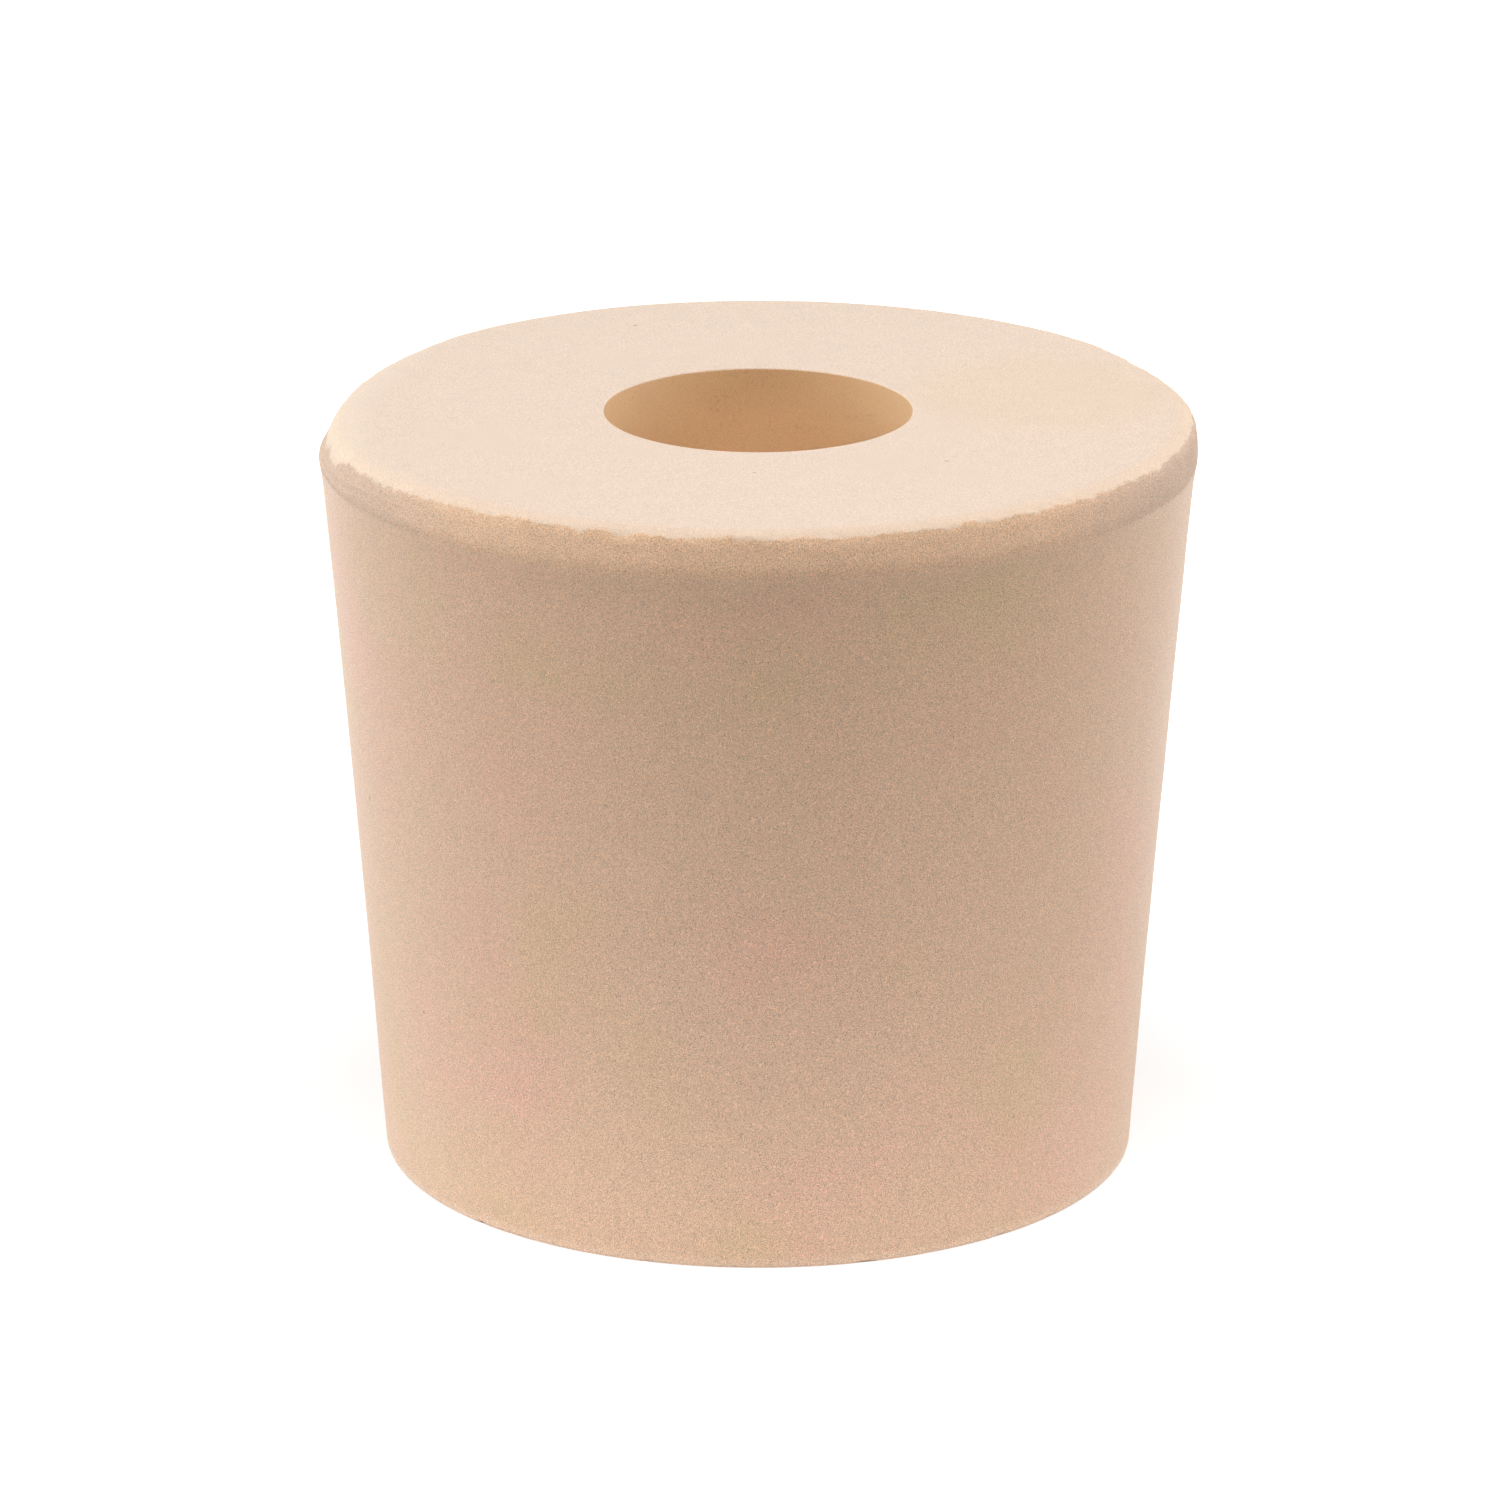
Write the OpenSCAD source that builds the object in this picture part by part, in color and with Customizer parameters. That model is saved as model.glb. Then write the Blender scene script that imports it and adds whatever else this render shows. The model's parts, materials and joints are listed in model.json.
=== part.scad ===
// One-hole rubber stopper, moulded in one piece, for a laboratory flask or bottle.
// It stands on its small end: Z = 0 is the small end's face, and +Z runs along the
// axis of the bore to the large end. Lengths are in millimetres.

/* [Body] */
// Diameter of the large end, across the rim band
top_dia = 55; // [40:0.5:90]
// Diameter of the small end, across the corner that the broken edge takes off
bottom_dia = 48; // [30:0.5:90]
// Overall height
height = 48.4; // [20:0.2:100]

/* [Rim] */
// Height of the straight band round the large end, with its rounded top edge
band_h = 2.3; // [1.2:0.1:8]
// Radius of the rounded edge between the band and the large end's face
top_edge_r = 0.8; // [0.1:0.1:1.1]

/* [Small end] */
// Height and width of the broken edge round the small end's face
bottom_break = 0.6; // [0.1:0.1:2]

/* [Bore] */
// Diameter of the hole through the stopper
bore_dia = 19.4; // [3:0.2:24]

/* [Hidden] */
rubber_colour = [0.86, 0.71, 0.58];
// How far the bore's cutter runs past each end
cutter_past = 1;
$fn = 180;

top_r = top_dia / 2;
bottom_r = bottom_dia / 2;
// Level at which the tapered side meets the straight band
band_z = height - band_h;
// Radius that the tapered side gains for each millimetre of height
taper = (top_r - bottom_r) / band_z;

// Half of the section, from the axis to the outside. The polygon cuts across the rim's
// top corner, and a circle fills it out to the rounded edge.
module half_section() {
    polygon([
        [0, 0],
        [bottom_r - bottom_break, 0],
        [bottom_r + bottom_break * taper, bottom_break],
        [top_r, band_z],
        [top_r, height - top_edge_r],
        [top_r - top_edge_r, height],
        [0, height],
    ]);
    translate([top_r - top_edge_r, height - top_edge_r]) circle(r = top_edge_r);
}

module bore() {
    translate([0, 0, -cutter_past]) cylinder(d = bore_dia, h = height + 2 * cutter_past);
}

module stopper() {
    color(rubber_colour) difference() {
        rotate_extrude() half_section();
        bore();
    }
}

stopper();
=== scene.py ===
"""Looks of a one-hole rubber stopper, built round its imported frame.

The stopper is one moulding: a tapered body with a bore through it and a short band round
its large end, where the flash was torn off and left a ragged rim. One piece carries the
whole of it. A Geometry Nodes tree turns the half section about the bore's axis and works
the moulding's faults into it, and one procedural rubber dresses it. Lengths are in metres.
"""

import json
import logging
import math
from dataclasses import dataclass, fields
from enum import Enum

import bmesh
import bpy
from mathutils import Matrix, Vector


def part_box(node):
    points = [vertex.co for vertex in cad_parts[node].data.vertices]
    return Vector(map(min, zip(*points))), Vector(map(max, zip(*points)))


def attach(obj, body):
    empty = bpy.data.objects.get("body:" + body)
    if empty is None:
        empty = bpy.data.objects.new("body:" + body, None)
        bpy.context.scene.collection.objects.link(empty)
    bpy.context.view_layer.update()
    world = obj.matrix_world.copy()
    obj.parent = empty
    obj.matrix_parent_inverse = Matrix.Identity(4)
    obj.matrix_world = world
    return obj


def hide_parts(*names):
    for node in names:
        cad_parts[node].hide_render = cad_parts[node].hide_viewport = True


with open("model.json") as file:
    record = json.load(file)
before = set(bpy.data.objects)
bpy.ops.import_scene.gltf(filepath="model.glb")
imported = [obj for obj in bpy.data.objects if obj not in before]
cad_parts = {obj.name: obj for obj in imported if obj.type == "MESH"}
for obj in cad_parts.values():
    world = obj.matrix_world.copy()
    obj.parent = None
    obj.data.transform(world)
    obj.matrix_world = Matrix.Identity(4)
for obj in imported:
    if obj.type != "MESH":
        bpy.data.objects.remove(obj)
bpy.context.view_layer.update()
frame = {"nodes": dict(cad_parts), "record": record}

MM = 0.001
log = logging.getLogger("stopper")

Colour = tuple[float, float, float]
Place = tuple[float, float, float]
Span = tuple[float, float]
Socket = bpy.types.NodeSocket


def placed(name: str, data: bpy.types.ID) -> bpy.types.Object:
    """Makes an object and adds it to the scene.

    Args:
        name: the object's name.
        data: its mesh, light or camera.

    Returns:
        The object, at the origin.
    """
    made = bpy.data.objects.new(name, data)
    bpy.context.scene.collection.objects.link(made)
    return made


# ---------------------------------------------------------------- node building


class Bench:
    """Adds nodes and links to one node tree."""

    def __init__(self, tree: bpy.types.NodeTree) -> None:
        """Starts on a tree, which may already hold nodes."""
        self.tree = tree

    @classmethod
    def cleared(cls, owner: bpy.types.Material | bpy.types.World) -> "Bench":
        """Starts on the node tree of a material or world, emptied first.

        Args:
            owner: the material or world.

        Returns:
            The bench.
        """
        owner.use_nodes = True
        owner.node_tree.nodes.clear()
        return cls(owner.node_tree)

    def add(
        self,
        kind: str,
        settings: dict[str, object] | None = None,
        inputs: dict[str | int, object] | None = None,
    ) -> bpy.types.Node:
        """Adds one node, sets it up, and then feeds its sockets.

        Args:
            kind: the node's type.
            settings: its properties, which can change the sockets it has.
            inputs: a value, socket or Wire for each input, by name, place or identifier.

        Returns:
            The new node.
        """
        node = self.tree.nodes.new(kind)
        for name, value in (settings or {}).items():
            setattr(node, name, value)
        for key, value in (inputs or {}).items():
            self.feed(self.socket(node, key), value)
        return node

    @staticmethod
    def socket(node: bpy.types.Node, key: str | int) -> Socket:
        """Finds an input by its place, its identifier or its name, in that order.

        Args:
            node: the node that has it.
            key: its place, identifier or name.

        Returns:
            The input.
        """
        if isinstance(key, int):
            return node.inputs[key]
        return next((s for s in node.inputs if s.identifier == key), None) or node.inputs[key]

    def feed(self, socket: Socket, value: object) -> None:
        """Links a socket or Wire into an input, or sets the input's own value.

        Args:
            socket: the input.
            value: what it gets. A colour of three numbers is made opaque.
        """
        if isinstance(value, Wire):
            value = value.socket
        if isinstance(value, Socket):
            self.tree.links.new(value, socket)
        elif socket.type == "RGBA" and len(value) == 3:
            socket.default_value = (*value, 1.0)
        else:
            socket.default_value = value

    def maths(self, operation: str, *terms: object) -> "Wire":
        """Adds a Math node on up to three terms and returns its result."""
        node = self.add("ShaderNodeMath", {"operation": operation}, dict(enumerate(terms)))
        return Wire(self, node.outputs[0])

    def vector(self, operation: str, *terms: object) -> Socket:
        """Adds a Vector Math node and returns its vector result."""
        node = self.add("ShaderNodeVectorMath", {"operation": operation}, dict(enumerate(terms)))
        return node.outputs[0]

    def combine(self, x: object, y: object, z: object) -> Socket:
        """Makes a vector of three numbers."""
        return self.add("ShaderNodeCombineXYZ", None, {"X": x, "Y": y, "Z": z}).outputs[0]

    def split(self, vector: Socket) -> tuple["Wire", "Wire", "Wire"]:
        """Takes a vector apart into three numbers."""
        node = self.add("ShaderNodeSeparateXYZ", None, {0: vector})
        return tuple(Wire(self, s) for s in node.outputs)

    def noise(
        self, place: Socket, length: "float | Wire", detail: float = 0.0, roughness: float = 0.5
    ) -> "Wire":
        """Adds smooth noise about zero, mostly between -0.5 and 0.5.

        Args:
            place: where the noise is read, in metres.
            length: the size of its largest lumps, in metres.
            detail: how many finer octaves it carries.
            roughness: how strong each finer octave is.

        Returns:
            The noise as a number.
        """
        per_metre = 1.0 / length
        node = self.add(
            "ShaderNodeTexNoise",
            {"noise_dimensions": "3D"},
            {"Vector": place, "Scale": per_metre, "Detail": detail, "Roughness": roughness},
        )
        return Wire(self, node.outputs[0]) - 0.5

    def mix(self, share: object, low: object, high: object, blend: str = "MIX") -> Socket:
        """Mixes two colours by a share from 0 to 1.

        Args:
            share: how far the result goes from the low colour to the high one.
            low: the colour at a share of 0.
            high: the colour at a share of 1.
            blend: the way that the high colour acts on the low one.

        Returns:
            The mixed colour.
        """
        node = self.add(
            "ShaderNodeMix",
            {"data_type": "RGBA", "blend_type": blend},
            {"Factor_Float": share, "A_Color": low, "B_Color": high},
        )
        return next(s for s in node.outputs if s.identifier == "Result_Color")


class Wire:
    """A number on a socket. Arithmetic on it adds Math nodes to its tree."""

    def __init__(self, bench: Bench, socket: Socket) -> None:
        """Wraps an output socket of the bench's tree."""
        self.bench = bench
        self.socket = socket

    def __add__(self, other: object) -> "Wire":
        """Adds."""
        return self.bench.maths("ADD", self, other)

    __radd__ = __add__

    def __sub__(self, other: object) -> "Wire":
        """Subtracts."""
        return self.bench.maths("SUBTRACT", self, other)

    def __rsub__(self, other: object) -> "Wire":
        """Subtracts this from a number."""
        return self.bench.maths("SUBTRACT", other, self)

    def __mul__(self, other: object) -> "Wire":
        """Multiplies."""
        return self.bench.maths("MULTIPLY", self, other)

    def __truediv__(self, other: object) -> "Wire":
        """Divides."""
        return self.bench.maths("DIVIDE", self, other)

    def __rtruediv__(self, other: object) -> "Wire":
        """Divides a number by this."""
        return self.bench.maths("DIVIDE", other, self)

    def __neg__(self) -> "Wire":
        """Turns the sign."""
        return self.bench.maths("MULTIPLY", self, -1.0)

    def exp(self) -> "Wire":
        """The exponential."""
        return self.bench.maths("EXPONENT", self)

    def cos(self) -> "Wire":
        """Cosine of an angle in radians."""
        return self.bench.maths("COSINE", self)

    def sin(self) -> "Wire":
        """Sine of an angle in radians."""
        return self.bench.maths("SINE", self)

    def between(self, low: float, high: float) -> "Wire":
        """Rises smoothly from 0 at low to 1 at high, and stays within those limits.

        Args:
            low: the value that gives 0.
            high: the value that gives 1, which may lie under low.

        Returns:
            The rise as a number.
        """
        node = self.bench.add(
            "ShaderNodeMapRange",
            {"interpolation_type": "SMOOTHSTEP", "clamp": True},
            {"Value": self, "From Min": low, "From Max": high, "To Min": 0.0, "To Max": 1.0},
        )
        return Wire(self.bench, node.outputs[0])


# ---------------------------------------------------------------- the turned body


class Zone(Enum):
    """The stretches of the half section, in order round it."""

    SMALL_END = "small end's face"
    BREAK = "small end's broken edge"
    TAPER = "tapered side"
    BAND = "rim band"
    LIP = "torn lip, under the crease"
    CROWN = "rounding from the crease to the large end's face"
    FACE = "large end's face"
    MOUTH = "upper part of the rounding from that face into the bore"
    BORE = "bore, with its lower mouth"


STRAIGHT_STEPS: dict[Zone, int] = {
    Zone.SMALL_END: 11,
    Zone.TAPER: 38,
    Zone.BAND: 5,
    Zone.FACE: 14,
    Zone.BORE: 18,
}


@dataclass(frozen=True)
class Bend:
    """A round stretch of the half section. Its tilts are those of the outward normal."""

    radius: float
    start: float
    end: float
    points: int
    zone: Zone

    def offset(self, share: float) -> tuple[float, float]:
        """Finds a point of the bend.

        Args:
            share: how much of the turn is done, from 0 to 1.

        Returns:
            How far out and how far up the point lies from the bend's start.
        """
        first = math.radians(self.start)
        now = math.radians(self.start + (self.end - self.start) * share)
        return (
            self.radius * (math.cos(now) - math.cos(first)),
            self.radius * (math.sin(now) - math.sin(first)),
        )


class Outline:
    """A pen that draws the half section as a row of points."""

    def __init__(self, radius: float, height: float, zone: Zone) -> None:
        """Puts the pen down."""
        self.points: list[tuple[float, float, Zone]] = [(radius, height, zone)]

    def line(self, radius: float, height: float, zone: Zone) -> None:
        """Draws a straight stretch, in the steps that its zone has.

        Args:
            radius: how far from the axis it ends.
            height: how high it ends.
            zone: the stretch's zone.
        """
        from_radius, from_height, _ = self.points[-1]
        steps = STRAIGHT_STEPS[zone]
        for step in range(1, steps + 1):
            share = step / steps
            across = from_radius + (radius - from_radius) * share
            self.points.append((across, from_height + (height - from_height) * share, zone))

    def bends(self, row: tuple[Bend, ...]) -> None:
        """Draws round stretches, each from where the last one ended.

        Args:
            row: the stretches in order.
        """
        for bend in row:
            from_radius, from_height, _ = self.points[-1]
            for step in range(1, bend.points + 1):
                out, up = bend.offset(step / bend.points)
                self.points.append((from_radius + out, from_height + up, bend.zone))


def reach(row: tuple[Bend, ...]) -> tuple[float, float]:
    """Gives how far out and up a row of bends goes."""
    ends = [bend.offset(1.0) for bend in row]
    return sum(out for out, _ in ends), sum(up for _, up in ends)


def ease(value: float, low: float, high: float) -> float:
    """Rises smoothly from 0 where value is low to 1 where it is high."""
    share = min(max((value - low) / (high - low), 0.0), 1.0)
    return share * share * (3.0 - 2.0 * share)


@dataclass(frozen=True)
class Station:
    """One point of the half section, and the share that it takes of each fault.

    Radius and height place it. The other fields are shares from 0 to 1, which become
    attributes of the section's points: torn for the crease's long waves, toothed for its
    short ones, dented for the lip's and band's dents, drawn_in and dropped for the worn
    places, proud for the band's step, ledged for the band's foot, which stands out at the
    front, chipped for the small end's edge, rippled for the skin's waves, and bored for the
    finish. Past_crease is the way along the section from the crease, in metres, which is
    above zero on the large end's side.
    """

    radius: float
    height: float
    torn: float
    toothed: float
    dented: float
    drawn_in: float
    dropped: float
    proud: float
    ledged: float
    chipped: float
    rippled: float
    bored: float
    past_crease: float


SHARES = [f.name for f in fields(Station) if f.name not in ("radius", "height")]


@dataclass(frozen=True)
class HalfSection:
    """The stopper's half section: its main sizes from the frame, the edges' own small ones.

    Tilts are those of the outward normal, in degrees. A pair of radii goes up the section.
    Under the rim, the ledge's and the step's depths are counted down from the large end.
    """

    top_radius: float
    small_radius: float
    height: float
    bore_radius: float
    band_height: float = 2.3 * MM
    band_draft: float = 6.0
    band_blend: float = 6.0 * MM
    hollow: float = 0.10 * MM
    mouth_radius: float = 0.12 * MM
    mouth_turn: float = 150.0
    foot_radii: Span = (0.12 * MM, 0.35 * MM)
    foot_tilt: float = -45.0
    lip_radii: Span = (1.5 * MM, 0.35 * MM)
    lip_tilt: float = 30.0
    crease_tilt: float = 45.0
    crown_radii: Span = (0.5 * MM, 2.0 * MM)
    crown_tilt: float = 60.0
    crease_inset: float = 0.26 * MM
    tear_below: float = 0.9 * MM
    tear_above: float = 0.85 * MM
    tear_start: float = 0.05 * MM
    tooth_start: float = 0.03 * MM
    tooth_share: float = 0.45
    worn_insets: Span = (1.0 * MM, 10.0 * MM)
    proud_insets: Span = (1.0 * MM, 6.0 * MM)
    proud_fade: float = 0.6 * MM
    ledge_start: float = 0.3 * MM
    ledge_under_band: float = 0.15 * MM
    ledge_fade: float = 1.7 * MM
    past_limit: float = 3.0 * MM

    @property
    def lean(self) -> float:
        """How far the taper goes out for each unit up."""
        return (self.top_radius - self.small_radius) / (self.height - self.band_height)

    @property
    def foot_bends(self) -> tuple[Bend, ...]:
        """The small end's edge, from its flat face to the taper."""
        taper = -math.degrees(math.atan(self.lean))
        return (
            Bend(self.foot_radii[0], -90, self.foot_tilt, 3, Zone.BREAK),
            Bend(self.foot_radii[1], self.foot_tilt, taper, 6, Zone.BREAK),
        )

    @property
    def ridge(self) -> Bend:
        """The soft ridge where the taper meets the band."""
        taper = -math.degrees(math.atan(self.lean))
        return Bend(self.band_blend, taper, self.band_draft, 8, Zone.BAND)

    @property
    def rim_bends(self) -> tuple[Bend, ...]:
        """The rim, from the band's top to the flat of the large end's face."""
        return (
            Bend(self.lip_radii[0], self.band_draft, self.lip_tilt, 8, Zone.LIP),
            Bend(self.lip_radii[1], self.lip_tilt, self.crease_tilt, 5, Zone.LIP),
            Bend(self.crown_radii[0], self.crease_tilt, self.crown_tilt, 5, Zone.CROWN),
            Bend(self.crown_radii[1], self.crown_tilt, 90, 8, Zone.CROWN),
        )

    @property
    def mouth_bends(self) -> tuple[Bend, ...]:
        """The rounding from the large end's face into the bore."""
        return (
            Bend(self.mouth_radius, 90, self.mouth_turn, 3, Zone.MOUTH),
            Bend(self.mouth_radius, self.mouth_turn, 180, 2, Zone.BORE),
        )

    def outline(self) -> list[tuple[float, float, Zone]]:
        """Walks round the section, from the bore's foot out, up, back in and down the bore.

        Returns:
            Radius, height and zone of each point. The last point is the first again.
        """
        mouth = self.bore_radius + self.mouth_radius
        foot_out, foot_up = reach(self.foot_bends)
        _, rim_up = reach(self.rim_bends)
        ridge_out, ridge_up = reach((self.ridge,))
        pen = Outline(mouth, 0.0, Zone.SMALL_END)
        pen.line(self.small_radius + self.lean * foot_up - foot_out, 0.0, Zone.SMALL_END)
        pen.bends(self.foot_bends)
        ridge_foot = self.height - self.band_height - ridge_up / 2
        ridge_radius = self.top_radius - ridge_out
        self._taper(pen, ridge_radius, ridge_foot)
        pen.bends((self.ridge,))
        band_top = self.height - rim_up
        draft = math.tan(math.radians(self.band_draft))
        shoulder = self.top_radius - draft * (band_top - ridge_foot - ridge_up)
        pen.line(shoulder, band_top, Zone.BAND)
        pen.bends(self.rim_bends)
        pen.line(mouth, self.height, Zone.FACE)
        pen.bends(self.mouth_bends)
        pen.line(self.bore_radius, self.mouth_radius, Zone.BORE)
        pen.bends((Bend(self.mouth_radius, 180, 270, 4, Zone.BORE),))
        return pen.points

    def _taper(self, pen: Outline, to_radius: float, to_height: float) -> None:
        """Draws the tapered side, drawn in a little half way up as the rubber shrank.

        Args:
            pen: what draws it.
            to_radius: how far from the axis it ends.
            to_height: how high it ends.
        """
        radius, height, _ = pen.points[-1]
        steps = STRAIGHT_STEPS[Zone.TAPER]
        for step in range(1, steps + 1):
            share = step / steps
            shrunk = self.hollow * 4.0 * share * (1.0 - share)
            across = radius + (to_radius - radius) * share - shrunk
            pen.points.append((across, height + (to_height - height) * share, Zone.TAPER))

    def stations(self) -> list[Station]:
        """Gives every point of the outline its shares of the faults.

        Returns:
            The stations in order round the section.
        """
        points = self.outline()
        ways = [0.0]
        for start, end in zip(points, points[1:]):
            ways.append(ways[-1] + math.dist(start[:2], end[:2]))
        crease_way = max(way for way, point in zip(ways, points) if point[2] is Zone.LIP)
        return [self._station(*point, way - crease_way) for way, point in zip(ways, points)]

    def _station(self, radius: float, height: float, zone: Zone, past: float) -> Station:
        """Works out which faults one point of the outline takes a share of.

        Args:
            radius: how far the point is from the axis.
            height: how high it is.
            zone: the stretch that it is on.
            past: the way along the section from the crease to it.

        Returns:
            The station.
        """
        rim_out, rim_up = reach(self.rim_bends)
        _, lip_up = reach(self.rim_bends[:2])
        crease = self.height - rim_up + lip_up
        under, inset = self.height - height, self.top_radius - radius
        above = zone in (Zone.CROWN, Zone.FACE)
        high = above or zone is Zone.LIP
        near_rim = high or zone in (Zone.BAND, Zone.TAPER)
        gap = inset - self.crease_inset if above else crease - height
        torn_to = self.tear_above if above else self.tear_below
        below = 1.0 - ease(under, rim_up, self.band_height + self.proud_fade)
        foot = self.band_height + self.ledge_under_band
        ledge = ease(under, self.ledge_start, foot)
        ledge = ledge * (1.0 - ease(under, foot, foot + self.ledge_fade))
        rounded_off = min(inset / -rim_out, 1.0)
        return Station(
            radius,
            height,
            torn=near_rim * (1.0 - ease(gap, self.tear_start, torn_to)),
            toothed=near_rim * (1.0 - ease(gap, self.tooth_start, torn_to * self.tooth_share)),
            dented=1.0 * (zone in (Zone.LIP, Zone.BAND)),
            drawn_in=high * rounded_off * (1.0 - ease(inset, *self.worn_insets)),
            dropped=min(under / rim_up, 1.0) if high else near_rim * below,
            proud=near_rim * (1.0 - ease(inset, *self.proud_insets)) * below,
            ledged=near_rim * ledge,
            chipped=1.0 * (zone is Zone.BREAK),
            rippled=1.0 * (zone in (Zone.TAPER, Zone.FACE, Zone.BORE)),
            bored=1.0 * (zone is Zone.BORE),
            past_crease=min(max(past, -self.past_limit), self.past_limit),
        )


class TurningTree:
    """The Geometry Nodes tree that turns a half section into the moulded body.

    It reads the section's points and their shares, turns them about the vertical axis,
    closes the seam, and works in the torn rim, the worn side, the band's step, the small
    end's chips and the skin's ripple.
    """

    INPUTS: dict[str, tuple[str, object]] = {
        "Columns": ("NodeSocketInt", 720),
        "Tear Height": ("NodeSocketFloat", 0.27 * MM),
        "Tear Length": ("NodeSocketFloat", 3.6 * MM),
        "Tooth Height": ("NodeSocketFloat", 0.25 * MM),
        "Tooth Length": ("NodeSocketFloat", 0.8 * MM),
        "Dent Depth": ("NodeSocketFloat", 0.06 * MM),
        "Dent Length": ("NodeSocketFloat", 1.1 * MM),
        "Worn Width": ("NodeSocketFloat", 2.6 * MM),
        "Worn Drop": ("NodeSocketFloat", 1.3 * MM),
        "Worn Bearing": ("NodeSocketFloat", math.radians(176)),
        "Worn Spread": ("NodeSocketFloat", math.radians(22)),
        "Rubbed Share": ("NodeSocketFloat", 0.33),
        "Rubbed Bearing": ("NodeSocketFloat", math.radians(20.5)),
        "Rubbed Spread": ("NodeSocketFloat", math.radians(8.5)),
        "Proud Step": ("NodeSocketFloat", 0.08 * MM),
        "Ledge Step": ("NodeSocketFloat", 0.30 * MM),
        "Chip Depth": ("NodeSocketFloat", 0.20 * MM),
        "Chip Length": ("NodeSocketFloat", 1.6 * MM),
        "Ripple Height": ("NodeSocketFloat", 0.10 * MM),
        "Ripple Length": ("NodeSocketFloat", 9.0 * MM),
        "Seed": ("NodeSocketFloat", 4.0),
        "Rubber": ("NodeSocketMaterial", None),
    }
    SEAM_GAP = 0.004 * MM
    AXIS_CLEARANCE = 1.0 * MM
    BACK_TEAR = 0.25
    KEPT = ("past_crease", "bored", "rippled", "dented")
    CHIP_LEVELS = (0.06, 0.3)
    CHIP_LIFT = 0.4

    def __init__(self) -> None:
        """Builds the tree."""
        self.tree = bpy.data.node_groups.new("turned_moulding", "GeometryNodeTree")
        sides = self.tree.interface
        sides.new_socket("Section", in_out="INPUT", socket_type="NodeSocketGeometry")
        for name, (kind, _) in self.INPUTS.items():
            sides.new_socket(name, in_out="INPUT", socket_type=kind)
        sides.new_socket("Body", in_out="OUTPUT", socket_type="NodeSocketGeometry")
        self.bench = Bench(self.tree)
        self.given = self.bench.add("NodeGroupInput").outputs
        self._build()

    def value(self, name: str) -> Wire:
        """Reads one of the group's number inputs."""
        return Wire(self.bench, self.given[name])

    def _sampled(self, kind: str, field: Socket, row: Socket) -> Socket:
        """Reads a value at the section's point that a row of the grid stands for.

        Args:
            kind: the value's type.
            field: the value over the section's points.
            row: the row's number.

        Returns:
            The value at that point.
        """
        node = self.bench.add(
            "GeometryNodeSampleIndex",
            {"data_type": kind, "domain": "POINT"},
            {"Geometry": self.given["Section"], "Value": field, "Index": row},
        )
        return node.outputs[0]

    def _share(self, name: str, row: Socket) -> Wire:
        """Reads one of the section's shares for a row."""
        return Wire(self.bench, self._sampled("FLOAT", self._kept(name).socket, row))

    def _build(self) -> None:
        """Lays out the whole tree."""
        bench = self.bench
        counted = bench.add(
            "GeometryNodeAttributeDomainSize", {"component": "MESH"}, {0: self.given["Section"]}
        )
        rows = Wire(bench, counted.outputs[0])
        sheet = bench.add(
            "GeometryNodeMeshGrid",
            None,
            {
                "Size X": 1.0,
                "Size Y": 1.0,
                "Vertices X": self.value("Columns") + 1.0,
                "Vertices Y": rows,
            },
        )
        across, along, _ = bench.split(bench.add("GeometryNodeInputPosition").outputs[0])
        row_number = (along + 0.5) * (rows - 1.0)
        nearest = {"rounding_mode": "ROUND"}
        row = bench.add("FunctionNodeFloatToInt", nearest, {0: row_number}).outputs[0]
        angle = (across + 0.5) * math.tau
        east, north = angle.cos(), angle.sin()

        point = bench.add("GeometryNodeInputPosition").outputs[0]
        radius, _, height = bench.split(self._sampled("FLOAT_VECTOR", point, row))
        worn = self._swell(angle, "Worn")
        worn = worn + self._swell(angle, "Rubbed") * self.value("Rubbed Share")
        radius, height = self._faults(row, east, north, worn, radius, height)
        kept = {name: self._share(name, row) for name in self.KEPT}
        kept["worn"] = worn
        marked = sheet.outputs[0]
        for name, share in kept.items():
            marked = bench.add(
                "GeometryNodeStoreNamedAttribute",
                {"data_type": "FLOAT", "domain": "POINT"},
                {"Geometry": marked, "Name": name, "Value": share},
            ).outputs[0]
        turned = bench.add(
            "GeometryNodeSetPosition",
            None,
            {"Geometry": marked, "Position": bench.combine(radius * east, radius * north, height)},
        ).outputs[0]
        closed = bench.add(
            "GeometryNodeMergeByDistance", None, {"Geometry": turned, "Distance": self.SEAM_GAP}
        ).outputs[0]
        rippled = self._rippled(closed)
        smooth = bench.add("GeometryNodeSetShadeSmooth", None, {"Geometry": rippled}).outputs[0]
        real = bench.add("GeometryNodeRealizeInstances", None, {"Geometry": smooth}).outputs[0]
        dressed = bench.add(
            "GeometryNodeSetMaterial", None, {"Geometry": real, "Material": self.given["Rubber"]}
        ).outputs[0]
        bench.add("NodeGroupOutput", None, {"Body": dressed})

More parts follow.
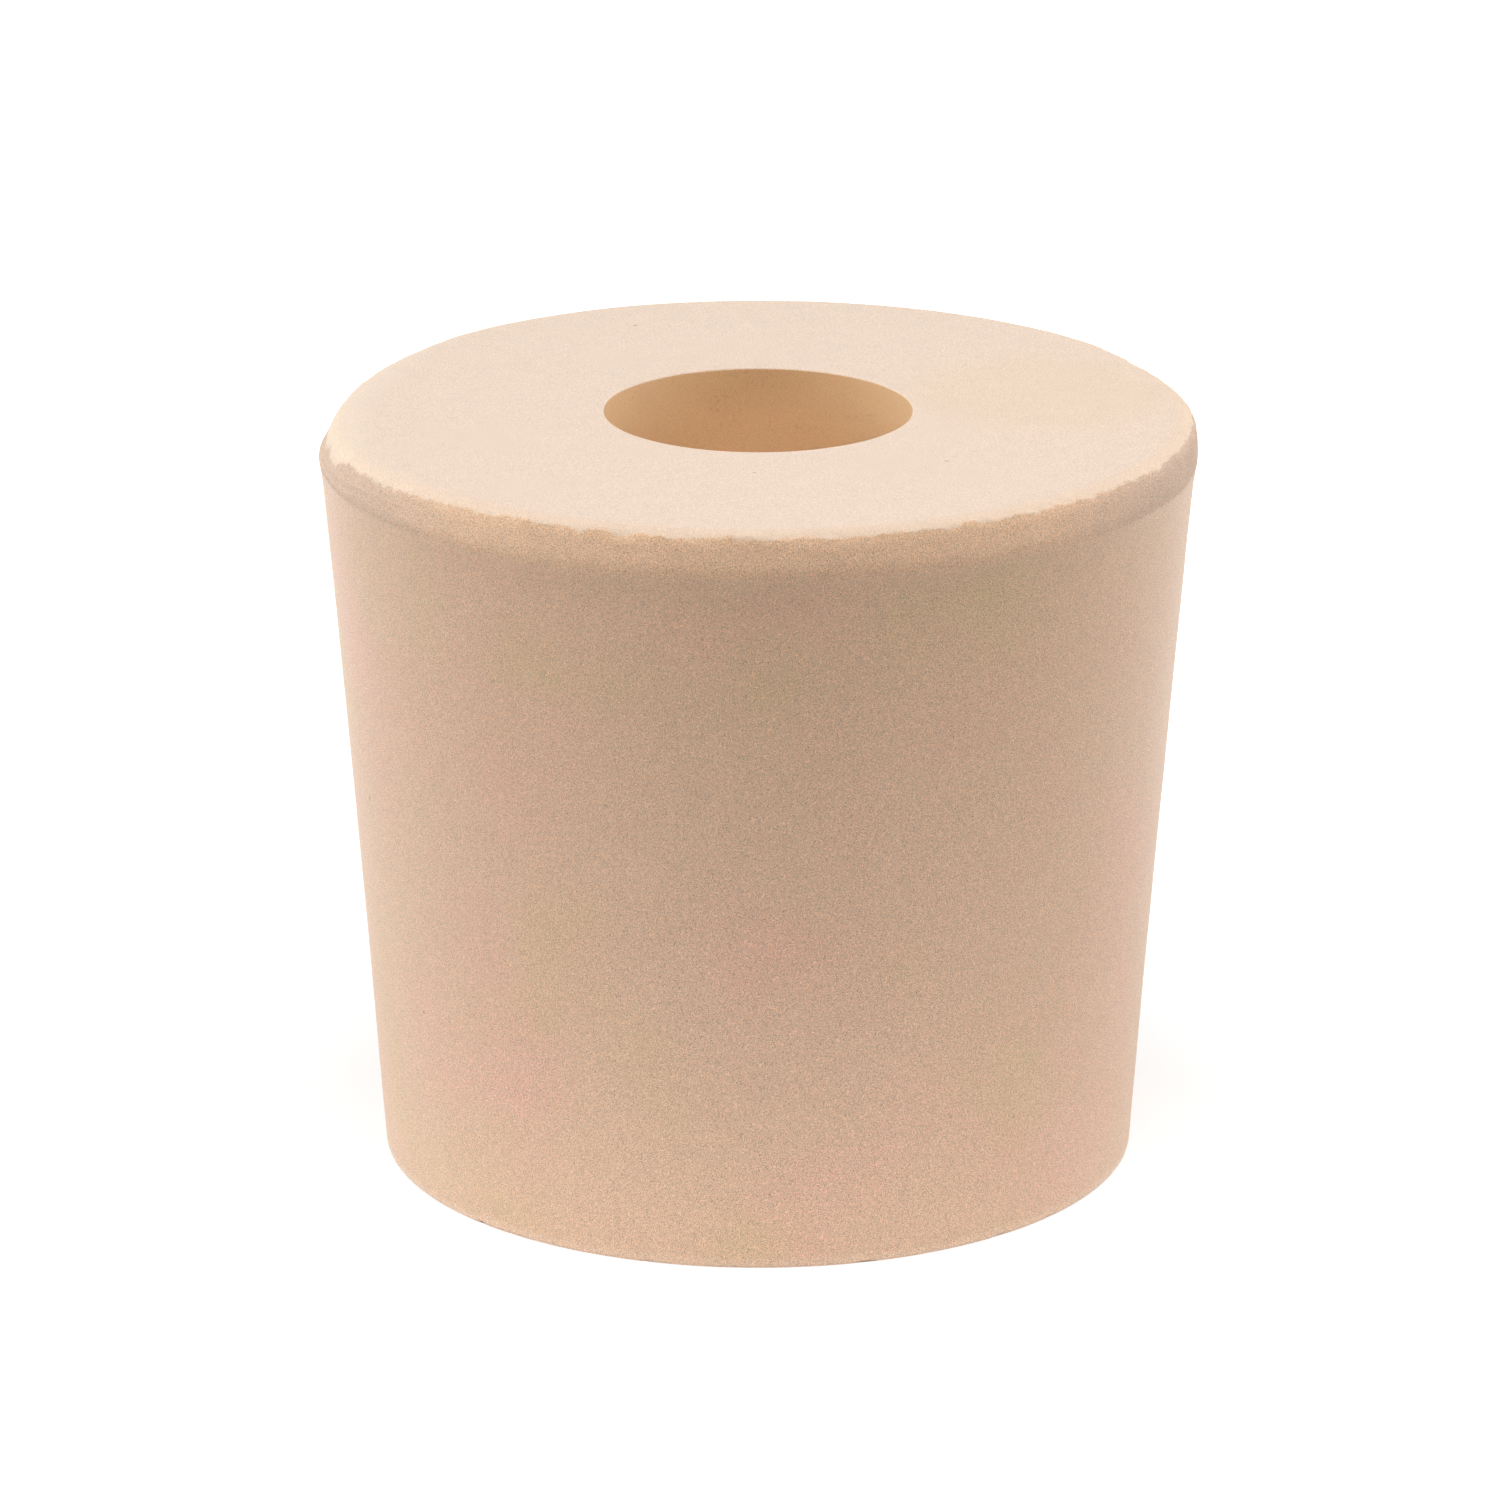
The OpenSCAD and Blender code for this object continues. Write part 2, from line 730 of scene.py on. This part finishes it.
    def _faults(
        self, row: Socket, east: Wire, north: Wire, worn: Wire, radius: Wire, height: Wire
    ) -> tuple[Wire, Wire]:
        """Moves a point of the section by the rim's and the small end's faults.

        Args:
            row: the section point's number.
            east: cosine of the point's bearing.
            north: sine of the point's bearing.
            worn: how far the rim is worn at the point's bearing, from 0 to 1.
            radius: the section point's radius.
            height: the section point's height.

        Returns:
            The radius and height after the faults.
        """
        bench = self.bench
        seed = self.value("Seed")
        reach_out = bench.maths("MAXIMUM", radius, self.AXIS_CLEARANCE)
        place = bench.combine(east * reach_out, north * reach_out, seed)
        waves = bench.noise(place, self.value("Tear Length"), detail=1.0, roughness=0.6)
        teeth = bench.noise(place, self.value("Tooth Length"), detail=1.5, roughness=0.6)
        frontal = (1.0 - north) * 0.5
        tear = waves * 2.0 * self.value("Tear Height") * self._share("torn", row)
        tear = tear + teeth * 2.0 * self.value("Tooth Height") * self._share("toothed", row)
        tear = tear * (frontal * (1.0 - self.BACK_TEAR) + self.BACK_TEAR)
        drawn_in = worn * self.value("Worn Width") * self._share("drawn_in", row)
        dropped = worn * self.value("Worn Drop") * self._share("dropped", row)
        facing = (east + 1.0) * 0.5
        step = facing * facing * self.value("Proud Step") * self._share("proud", row)
        ledge = frontal * frontal * self.value("Ledge Step") * self._share("ledged", row)
        ledge = ledge * (waves + 1.0)
        chip_place = bench.combine(east * reach_out, north * reach_out, seed + 1.0)
        chips = bench.noise(chip_place, self.value("Chip Length"), detail=2.0, roughness=0.65)
        chip = chips.between(*self.CHIP_LEVELS) * self.value("Chip Depth")
        chip = chip * self._share("chipped", row)
        lift = chip * self.CHIP_LIFT
        return radius + step + ledge - drawn_in - chip, height + tear - dropped + lift

    def _swell(self, angle: Wire, place: str) -> Wire:
        """Rises to 1 round the rim at a place's bearing and dies away over its spread."""
        off = (angle - self.value(f"{place} Bearing")) / self.value(f"{place} Spread")
        return (off * off * -0.5).exp()

    def _rippled(self, body: Socket) -> Socket:
        """Lifts and sinks the skin along its own normal: long low waves, and small dents.

        Args:
            body: the turned body.

        Returns:
            The rippled body.
        """
        bench = self.bench
        place = bench.add("GeometryNodeInputPosition").outputs[0]
        waves = bench.noise(place, self.value("Ripple Length"), detail=1.0)
        dents = bench.noise(place, self.value("Dent Length"), detail=1.5, roughness=0.6)
        lift = waves * self.value("Ripple Height") * self._kept("rippled")
        lift = lift + dents * self.value("Dent Depth") * self._kept("dented")
        normal = bench.add("GeometryNodeInputNormal").outputs[0]
        scale = {"operation": "SCALE"}
        along = bench.add("ShaderNodeVectorMath", scale, {0: normal, "Scale": lift})
        offset = {"Geometry": body, "Offset": along.outputs[0]}
        return bench.add("GeometryNodeSetPosition", None, offset).outputs[0]

    def _kept(self, name: str) -> Wire:
        """Reads a share that is stored on the mesh, be it the section or the turned body."""
        named = self.bench.add(
            "GeometryNodeInputNamedAttribute", {"data_type": "FLOAT"}, {"Name": name}
        )
        return Wire(self.bench, named.outputs[0])

    def fit(self, piece: bpy.types.Object, rubber: bpy.types.Material) -> bpy.types.Modifier:
        """Puts the tree on a section and sets each input by its socket's identifier.

        Args:
            piece: the object that holds the section's points.
            rubber: the material of the whole body.

        Returns:
            The modifier.
        """
        modifier = piece.modifiers.new("turning", "NODES")
        modifier.node_group = self.tree
        for item in self.tree.interface.items_tree:
            if item.in_out == "INPUT" and item.name in self.INPUTS:
                value = self.INPUTS[item.name][1]
                modifier[item.identifier] = rubber if item.name == "Rubber" else value
        return modifier


@dataclass(frozen=True)
class StopperBody:
    """The moulded body: it takes its sizes from the frame and stands for the CAD node."""

    node: str
    top_radius: float
    small_radius: float
    height: float
    bore_radius: float
    slot: str = "rubber"
    piece_name: str = "moulded_body"
    same: float = 0.01 * MM
    cad_break: float = 0.6 * MM

    @classmethod
    def from_frame(cls, node: str) -> "StopperBody":
        """Reads the body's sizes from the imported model.

        Args:
            node: the CAD node's name.

        Returns:
            The body, not yet built.
        """
        low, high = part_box(node)
        bore = next(m for m in frame["record"]["mounts"] if m["name"] == "bore")
        corners = [v.co for v in frame["nodes"][node].data.vertices]
        flat = max(math.hypot(c.x, c.y) for c in corners if c.z < low.z + cls.same)
        log.info("the small end's flat is %.2f mm in radius", flat / MM)
        return cls(node, high.x, flat + cls.cad_break, high.z, bore["dims"]["r_mm"] * MM)

    def build(self, rubber: bpy.types.Material) -> bpy.types.Object:
        """Turns the half section into a closed mesh.

        Args:
            rubber: the finish.

        Returns:
            The finished piece, at the origin.
        """
        section = HalfSection(self.top_radius, self.small_radius, self.height, self.bore_radius)
        stations = section.stations()
        blank = bpy.data.meshes.new("half_section")
        points = [(s.radius, 0.0, s.height) for s in stations]
        blank.from_pydata(points, [(i, i + 1) for i in range(len(points) - 1)], [])
        for name in SHARES:
            layer = blank.attributes.new(name, "FLOAT", "POINT")
            layer.data.foreach_set("value", [getattr(s, name) for s in stations])
        holder = placed("half_section", blank)
        modifier = TurningTree().fit(holder, rubber)
        graph = bpy.context.evaluated_depsgraph_get()
        mesh = bpy.data.meshes.new_from_object(holder.evaluated_get(graph))
        holder.modifiers.remove(modifier)
        bpy.data.objects.remove(holder)
        mesh.name = self.piece_name
        self._face_outwards(mesh)
        return placed(self.piece_name, mesh)

    @staticmethod
    def _face_outwards(mesh: bpy.types.Mesh) -> None:
        """Turns every face outwards and reports open edges.

        Args:
            mesh: the body's mesh, which is changed.
        """
        work = bmesh.new()
        work.from_mesh(mesh)
        bmesh.ops.recalc_face_normals(work, faces=work.faces)
        if work.calc_volume(signed=True) < 0.0:
            bmesh.ops.reverse_faces(work, faces=work.faces)
        open_edges = sum(1 for e in work.edges if not e.is_manifold)
        log.info("%d faces, %d open edges", len(work.faces), open_edges)
        work.to_mesh(mesh)
        work.free()

    def dress(self, piece: bpy.types.Object) -> None:
        """Joins the piece to the frame's body and hides the CAD node it stands for.

        Args:
            piece: the built body.
        """
        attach(piece, "root")
        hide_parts(self.node)
        triangles = sum(len(p.vertices) - 2 for p in piece.data.polygons)
        log.info("piece %s: %d triangles", piece.name, triangles)


# ---------------------------------------------------------------- finishes


@dataclass(frozen=True)
class Blotch:
    """Soft patches of one tone, which show between two levels of a noise."""

    colour: Colour
    size: float
    levels: Span
    share: float
    shift: Place = (0.0, 0.0, 0.0)

    def lay(self, bench: Bench, place: Socket, tone: Socket) -> Socket:
        """Lays the patches over a tone.

        Args:
            bench: where the nodes go.
            place: the point on the body.
            tone: the colour so far.

        Returns:
            The blotched colour.
        """
        moved = bench.vector("ADD", place, self.shift)
        shown = bench.noise(moved, self.size, detail=2.0).between(*self.levels)
        return bench.mix(shown * self.share, tone, self.colour)


def under_top(z: Wire, height: float, depths: Span) -> Wire:
    """Rises from 0 to 1 between two depths under the large end, at the given height."""
    return z.between(height - depths[0], height - depths[1])


@dataclass(frozen=True)
class SideFinish:
    """The tapered side and the band round it.

    Depths are counted down from the large end, heights up from the small one, and ways
    along the section from the crease. A share says how strongly a tone is laid.
    """

    height: float
    low: Colour = (0.734, 0.486, 0.328)
    # high: a warmer, more saturated tone up the taper, painted shade for its darker upper part under
    # the band
    high: Colour = (0.734, 0.477, 0.313)
    shaded_upper_depths: Span = (20.0 * MM, 4.0 * MM)
    rosy: Blotch = Blotch((0.798, 0.449, 0.336), 13.0 * MM, (-0.05, 0.30), 0.58)
    olive: Blotch = Blotch((0.678, 0.489, 0.271), 10.0 * MM, (-0.02, 0.35), 0.7, (0.3, 0.1, 0.2))
    # foot: a paler strip along the small end's edge, painted highlight for light thrown up from the
    # floor
    foot: Colour = (0.767, 0.534, 0.374)
    lit_foot_heights: Span = (0.8 * MM, 0.4 * MM)
    # A dark line at the very bottom of the side: painted contact shadow where it meets the floor.
    painted_contact_shadow: Colour = (0.50, 0.33, 0.23)
    contact_shadow_heights: Span = (0.24 * MM, 0.06 * MM)
    contact_shadow_share: float = 0.7
    contact_shadow_wander: float = 0.3
    # band: a paler tone over the band and the rim above it, painted light for the band catching more
    # light from above
    band: Colour = (0.79, 0.522, 0.339)
    lit_band_depths: Span = (3.4 * MM, 2.3 * MM)
    # torn: a darker, warmer line just under the crease, painted shade under the crease's edge
    torn: Colour = (0.775, 0.509, 0.309)
    crease_shade_ways: Span = (-0.55 * MM, -0.1 * MM)
    crease_shade_share: float = 0.6
    # worn: a darker tone towards both ends of the band; it is wear at the worn left end, and painted
    # shade at both ends, where the band turns from the light
    worn: Colour = (0.643, 0.447, 0.33)
    worn_and_shaded_ends: Span = (17.0 * MM, 25.0 * MM)
    worn_and_shade_share: float = 0.9
    wander_length: float = 2.5 * MM
    wander_reach: float = 0.4 * MM

    def lay(self, bench: Bench, place: Socket, past: Wire) -> Socket:
        """Lays the side's blotches, and its painted light and shade: a band painted paler,
        a painted highlight on the foot, a painted contact shadow at the bottom, and painted
        shade under the crease, up the taper and at the band's ends, whose left end is also worn.

        Args:
            bench: where the nodes go.
            place: the point on the body.
            past: its way past the crease.

        Returns:
            The side's tone.
        """
        x, _, z = bench.split(place)
        # The taper's upper part takes the high tone as painted shade.
        tone = bench.mix(under_top(z, self.height, self.shaded_upper_depths), self.low, self.high)
        tone = self.olive.lay(bench, place, self.rosy.lay(bench, place, tone))
        wander = bench.noise(place, self.wander_length, detail=2.0) * self.wander_reach
        banded = under_top(z + wander, self.height, self.lit_band_depths)
        # The painted contact shadow along the bottom.
        painted_contact_shadow = (z + wander * self.contact_shadow_wander).between(*self.contact_shadow_heights)
        # A painted highlight along the foot.
        tone = bench.mix((z + wander).between(*self.lit_foot_heights), tone, self.foot)
        tone = bench.mix(painted_contact_shadow * self.contact_shadow_share, tone, self.painted_contact_shadow)
        # The band is painted paler as painted light.
        tone = bench.mix(banded, tone, self.band)
        # A line of painted shade under the crease.
        tone = bench.mix(past.between(*self.crease_shade_ways) * self.crease_shade_share, tone, self.torn)
        # The band's two ends are darkened: wear, and painted shade.
        ends = bench.maths("ABSOLUTE", x).between(*self.worn_and_shaded_ends)
        return bench.mix(banded * ends * self.worn_and_shade_share, tone, self.worn)


@dataclass(frozen=True)
class FaceFinish:
    """The large end's face, painted paler than the side as a painted highlight of the lit face.
    It warms a little in one patch, and towards its rim, where the rounding is painted brighter
    as painted light.
    """

    # pale: the face's tone, paler and less saturated than the side's, painted highlight of the
    # brightly lit face
    pale: Colour = (0.767, 0.615, 0.501)
    # edge: a brighter tone on the rim's rounding, painted light so that the tilted rounding stays as
    # bright as the flat
    edge: Colour = (0.807, 0.61, 0.443)
    lit_edge_radii: Span = (25.6 * MM, 27.3 * MM)
    lit_edge_share: float = 0.7
    warm: Colour = (0.754, 0.582, 0.424)
    warm_centre: Span = (18.0 * MM, 4.0 * MM)
    warm_radii: Span = (9.0 * MM, 10.0 * MM)
    warm_fade: Span = (1.2, 0.3)
    warm_share: float = 0.45
    ragged_length: float = 5.0 * MM

    def lay(self, bench: Bench, place: Socket) -> Socket:
        """Lays the face's tones.

        Args:
            bench: where the nodes go.
            place: the point on the body.

        Returns:
            The face's tone.
        """
        x, y, _ = bench.split(place)
        away = bench.maths("SQRT", x * x + y * y)
        # The rim's rounding is painted brighter as painted light.
        edged = away.between(*self.lit_edge_radii) * self.lit_edge_share
        tone = bench.mix(edged, self.pale, self.edge)
        across = (x - self.warm_centre[0]) / self.warm_radii[0]
        along = (y - self.warm_centre[1]) / self.warm_radii[1]
        ragged = bench.noise(place, self.ragged_length, detail=2.0)
        patch = (across * across + along * along + ragged).between(*self.warm_fade)
        return bench.mix(patch * self.warm_share, tone, self.warm)


@dataclass(frozen=True)
class BoreFinish:
    """The bore's wall: painted bright as painted light in the shaded bore, and deeper at its
    mouth as painted shade, with level streaks of fine dark dots.

    Depths are counted down from the large end. Levels are those of a noise, where a thing
    starts to show and where it shows in full.
    """

    height: float
    # wall: brighter than the rubber outside, painted light in the shaded bore
    wall: Colour = (0.942, 0.664, 0.389)
    # mouth: a deeper tone near the top, painted shade where the lamps reach into the bore
    mouth: Colour = (0.81, 0.537, 0.29)
    shaded_mouth_depths: Span = (3.5 * MM, 0.0)
    streak_squash: Place = (1.0, 1.0, 3.0)
    streak_length: float = 6.0 * MM
    streak_levels: Span = (0.0, 0.22)
    dots: Colour = (0.60, 0.36, 0.18)
    dot_length: float = 0.22 * MM
    dot_levels: Span = (0.02, 0.2)
    dot_share: float = 0.5

    def lay(self, bench: Bench, place: Socket) -> Socket:
        """Lays the wall's tones.

        Args:
            bench: where the nodes go.
            place: the point on the body.

        Returns:
            The wall's tone.
        """
        _, _, z = bench.split(place)
        # The bore's painted light, deepened towards the mouth by painted shade.
        tone = bench.mix(under_top(z, self.height, self.shaded_mouth_depths), self.wall, self.mouth)
        level = bench.vector("MULTIPLY", place, self.streak_squash)
        streaks = bench.noise(level, self.streak_length, detail=2.0).between(*self.streak_levels)
        dots = bench.noise(place, self.dot_length, detail=1.0).between(*self.dot_levels)
        return bench.mix(streaks * dots * self.dot_share, tone, self.dots)


@dataclass(frozen=True)
class Sand:
    """The skin's sandy grain, with faint mottling, coarser pits and a few dark specks.

    A speck's radii are shares of the specks' spacing. Its draws are the random numbers
    from which a place on the grid starts to carry a speck, and carries it in full.
    """

    length: float = 0.065 * MM
    contrast: float = 2.1
    lost_on_face: float = 0.5
    lost_in_bore: float = 0.7
    mottle_length: float = 1.6 * MM
    mottle_contrast: float = 0.06
    pit_length: float = 0.6 * MM
    pit_share: float = 0.5
    relief_height: float = 0.05 * MM
    speck: Colour = (0.20, 0.09, 0.05)
    speck_spacing: float = 4.0 * MM
    speck_radii: Span = (0.055, 0.02)
    speck_draws: Span = (0.72, 0.78)
    speck_share: float = 0.55

    def grain(self, bench: Bench, place: Socket) -> Wire:
        """Adds the grain's own noise."""
        return bench.noise(place, self.length, detail=1.0, roughness=0.7)

    def shade(self, bench: Bench, place: Socket, tone: Socket, grain: Wire) -> Socket:
        """Breaks a tone up with the grain, the mottling and the specks.

        Args:
            bench: where the nodes go.
            place: the point on the body.
            tone: the colour so far.
            grain: the grain, already faded where the skin is smoother.

        Returns:
            The broken colour.
        """
        mottle = bench.noise(place, self.mottle_length, detail=2.0)
        shade = 1.0 + grain * self.contrast + mottle * self.mottle_contrast
        tone = bench.mix(1.0, tone, bench.combine(shade, shade, shade), "MULTIPLY")
        cells = bench.add(
            "ShaderNodeTexVoronoi",
            {"feature": "F1", "voronoi_dimensions": "3D"},
            {"Vector": place, "Scale": 1.0 / self.speck_spacing, "Randomness": 1.0},
        )
        draw, _, _ = bench.split(cells.outputs["Color"])
        near = Wire(bench, cells.outputs["Distance"]).between(*self.speck_radii)
        dark = near * draw.between(*self.speck_draws) * self.speck_share
        return bench.mix(dark, tone, self.speck)

    def relief(self, bench: Bench, place: Socket, grain: Wire, depth: Wire) -> Socket:
        """Raises the grain and the pits.

        Args:
            bench: where the nodes go.
            place: the point on the body.
            grain: the grain.
            depth: how strongly the relief shows.

        Returns:
            The bent normal.
        """
        pits = bench.noise(place, self.pit_length, detail=2.0, roughness=0.6)
        raised = (grain + pits * self.pit_share) * depth
        sizes = {"Strength": 1.0, "Distance": self.relief_height, "Height": raised}
        return bench.add("ShaderNodeBump", None, sizes).outputs[0]


@dataclass(frozen=True)
class RubberFinish:
    """Pale tan rubber: sandy and matte, with a faint gloss where the mould left its skin.

    The lid is the part of the skin that shares the face's look. It ends raggedly about the
    crease, from which its ways are counted, and wraps further over where the rim is worn.
    """

    side: SideFinish
    bore: BoreFinish
    face: FaceFinish = FaceFinish()
    sand: Sand = Sand()
    roughness: float = 0.68
    grain_roughness: float = 0.25
    coat: float = 0.36
    coat_roughness: float = 0.3
    lid_ways: Span = (-0.13 * MM, 0.13 * MM)
    wrapped: float = 0.5 * MM
    ragged_length: float = 2.0 * MM
    ragged_reach: float = 1.3 * MM

    def material(self) -> bpy.types.Material:
        """Builds the rubber's node tree.

        Returns:
            The material.
        """
        made = bpy.data.materials.new("moulded_rubber")
        bench = Bench.cleared(made)
        place = bench.add("ShaderNodeTexCoord").outputs["Object"]
        bored, worn, dented = (self._read(bench, name) for name in ("bored", "worn", "dented"))
        ragged = bench.noise(place, self.ragged_length, detail=4.0, roughness=0.65)
        past = self._read(bench, "past_crease") + ragged * self.ragged_reach
        past = past + worn * self.wrapped
        lid = past.between(*self.lid_ways) * (1.0 - bored)
        grain = self.sand.grain(bench, place)
        depth = 1.0 - lid * self.sand.lost_on_face - bored * self.sand.lost_in_bore
        # The lid takes the face's tone, painted highlight included.
        tone = bench.mix(lid, self.side.lay(bench, place, past), self.face.lay(bench, place))
        tone = bench.mix(bored, tone, self.bore.lay(bench, place))
        skin = bench.add(
            "ShaderNodeBsdfPrincipled",
            None,
            {
                "Base Color": self.sand.shade(bench, place, tone, grain * depth),
                "Roughness": self.roughness + grain * self.grain_roughness,
                "Coat Weight": (1.0 - lid) * (1.0 - dented) * self.coat,
                "Coat Roughness": self.coat_roughness,
                "Normal": self.sand.relief(bench, place, grain, depth),
            },
        )
        bench.add("ShaderNodeOutputMaterial", None, {"Surface": skin.outputs[0]})
        return made

    @staticmethod
    def _read(bench: Bench, name: str) -> Wire:
        """Reads one of the body's stored values."""
        stored = bench.add("ShaderNodeAttribute", {"attribute_name": name})
        return Wire(bench, stored.outputs["Fac"])


@dataclass(frozen=True)
class PaperFinish:
    """The pale floor: it is seen white, keeps the shadow, and throws some light back up."""

    name: str
    thrown: float = 0.0
    thrown_spread: float = 0.053
    thrown_front: float = 0.034
    colour: Colour = (0.50, 0.50, 0.50)
    near_glow: float = 0.62
    glow_radii: Span = (0.03, 0.12)

    def material(self) -> bpy.types.Material:
        """Builds the floor's node tree.

        Returns:
            The material.
        """
        made = bpy.data.materials.new(self.name)
        bench = Bench.cleared(made)
        paper = bench.add("ShaderNodeBsdfDiffuse", None, {"Color": self.colour})
        x, y, _ = bench.split(bench.add("ShaderNodeTexCoord").outputs["Object"])
        seen = seen_directly(bench)
        away = bench.maths("SQRT", x * x + y * y).between(*self.glow_radii)
        level = seen * (self.near_glow + away * (1.0 - self.near_glow))
        if self.thrown > 0.0:
            across = x / self.thrown_spread
            along = (y + self.thrown_front) / self.thrown_spread
            fall = (-(across * across + along * along)).exp()
            level = level + (1.0 - seen) * fall * self.thrown
        glow = bench.add("ShaderNodeEmission", None, {"Strength": level})
        both = bench.add("ShaderNodeAddShader", None, {0: paper.outputs[0], 1: glow.outputs[0]})
        bench.add("ShaderNodeOutputMaterial", None, {"Surface": both.outputs[0]})
        return made


def seen_directly(bench: Bench) -> Wire:
    """Tells the rays that look at a thing from the rays that carry its light elsewhere.

    Args:
        bench: where the nodes go.

    Returns:
        1 for camera, glossy and transmission rays, and 0 for the rest.
    """
    path = bench.add("ShaderNodeLightPath")
    kinds = ("Is Camera Ray", "Is Glossy Ray", "Is Transmission Ray")
    camera, glossy, through = (Wire(bench, path.outputs[kind]) for kind in kinds)
    return bench.maths("MAXIMUM", bench.maths("MAXIMUM", camera, glossy), through)


# ---------------------------------------------------------------- the studio


@dataclass(frozen=True)
class Lamp:
    """One soft panel that faces the stopper."""

    name: str
    place: Place
    aim: Place
    width: float
    power: float
    colour: Colour

    def build(self) -> bpy.types.Object:
        """Makes the panel as an area light.

        Returns:
            The light, turned to its aim.
        """
        data = bpy.data.lights.new(self.name, "AREA")
        data.shape = "SQUARE"
        data.size = self.width
        data.energy = self.power
        data.color = self.colour
        lamp = placed(self.name, data)
        lamp.location = self.place
        way = Vector(self.aim) - Vector(self.place)
        lamp.rotation_euler = way.to_track_quat("-Z", "Y").to_euler()
        lamp.visible_camera = False
        log.info("lamp %s: %.3f W", self.name, self.power)
        return lamp


@dataclass(frozen=True)
class Studio:
    """The floor, the panels, the white surround and the camera."""

    top: float
    side: float
    side_height: float = 0.03
    middle_radius: float = 0.14
    floor_radius: float = 3.0
    floor_sides: int = 96
    thrown: float = 0.945
    camera_back: float = 0.4700
    camera_over_top: float = 0.1327
    pitch: float = math.radians(18.28)
    yaw: float = math.radians(0.063)
    lens: float = 186.4

    def build(self) -> None:
        """Makes everything that isn't part of the stopper."""
        self._floor()
        self._surround()
        for lamp in self._lamps():
            lamp.build()
        self._camera()

    def _lamps(self) -> list[Lamp]:
        """Lists the panels.

        Returns:
            The panels, not yet built.
        """
        rim = (0.0, 0.0, self.top)
        middle = (0.0, 0.0, self.top / 2)
        left_side = (-self.side, 0.0, self.side_height)
        right_side = (self.side, 0.0, self.side_height)
        return [
            Lamp("overhead_panel", (0.0, -0.10, 0.48), rim, 0.25, 1.44, (1.0, 0.99, 0.98)),
            Lamp("front_panel", (0.0, -0.22, 0.45), rim, 0.25, 0.56, (1.0, 0.93, 0.91)),
            Lamp("left_panel", (-0.50, 0.0, 0.15), middle, 0.30, 1.22, (0.95, 0.98, 1.0)),
            Lamp("back_left_panel", (-0.20, 0.13, 0.10), left_side, 0.10, 0.165, (0.84, 0.98, 1.0)),
            Lamp("back_right_panel", (0.20, 0.13, 0.10), right_side, 0.10, 0.168, (0.90, 0.98, 1.0)),
            Lamp("near_right_panel", (0.24, 0.0, 0.10), right_side, 0.10, 0.166, (0.97, 0.985, 1.0)),
        ]

    def _floor(self) -> None:
        """Makes the round floor: a middle that throws light up, and a plain ring round it."""
        sides = self.floor_sides
        turns = [math.tau * i / sides for i in range(sides)]
        points = [
            (radius * math.cos(turn), radius * math.sin(turn), 0.0)
            for radius in (self.middle_radius, self.floor_radius)
            for turn in turns
        ]
        faces = [tuple(range(sides))]
        for i in range(sides):
            after = (i + 1) % sides
            faces.append((i, sides + i, sides + after, after))
        sheet = bpy.data.meshes.new("floor")
        sheet.from_pydata(points, [], faces)
        sheet.materials.append(PaperFinish("lit_paper", self.thrown).material())
        sheet.materials.append(PaperFinish("plain_paper").material())
        for face in sheet.polygons[1:]:
            face.material_index = 1
        floor = placed("floor", sheet)

    def _surround(self) -> None:
        """Makes the world: white where it is seen, and dark where it would light things."""
        world = bpy.data.worlds.new("surround")
        bench = Bench.cleared(world)
        white = {"Color": (1.0, 1.0, 1.0), "Strength": seen_directly(bench)}
        air = bench.add("ShaderNodeBackground", None, white)
        bench.add("ShaderNodeOutputWorld", None, {"Surface": air.outputs[0]})
        bpy.context.scene.world = world

    def _camera(self) -> None:
        """Makes the camera and gives it to the scene."""
        data = bpy.data.cameras.new("camera")
        data.sensor_width = 36.0
        data.lens = self.lens
        data.clip_start = 0.01
        data.clip_end = 20.0
        camera = placed("camera", data)
        camera.location = (0.0, -self.camera_back, self.top + self.camera_over_top)
        camera.rotation_euler = (math.pi / 2 - self.pitch, 0.0, self.yaw)
        bpy.context.scene.camera = camera


def main() -> None:
    bpy.context.scene.view_settings.view_transform = "Standard"
    body = StopperBody.from_frame("stopper")
    Studio(body.height, body.top_radius).build()
    rubber = RubberFinish(SideFinish(body.height), BoreFinish(body.height)).material()
    piece = body.build(rubber)
    body.dress(piece)
    bpy.context.view_layer.update()


if __name__ == "__main__":
    logging.basicConfig(level=logging.INFO, format="%(name)s: %(message)s")
    main()
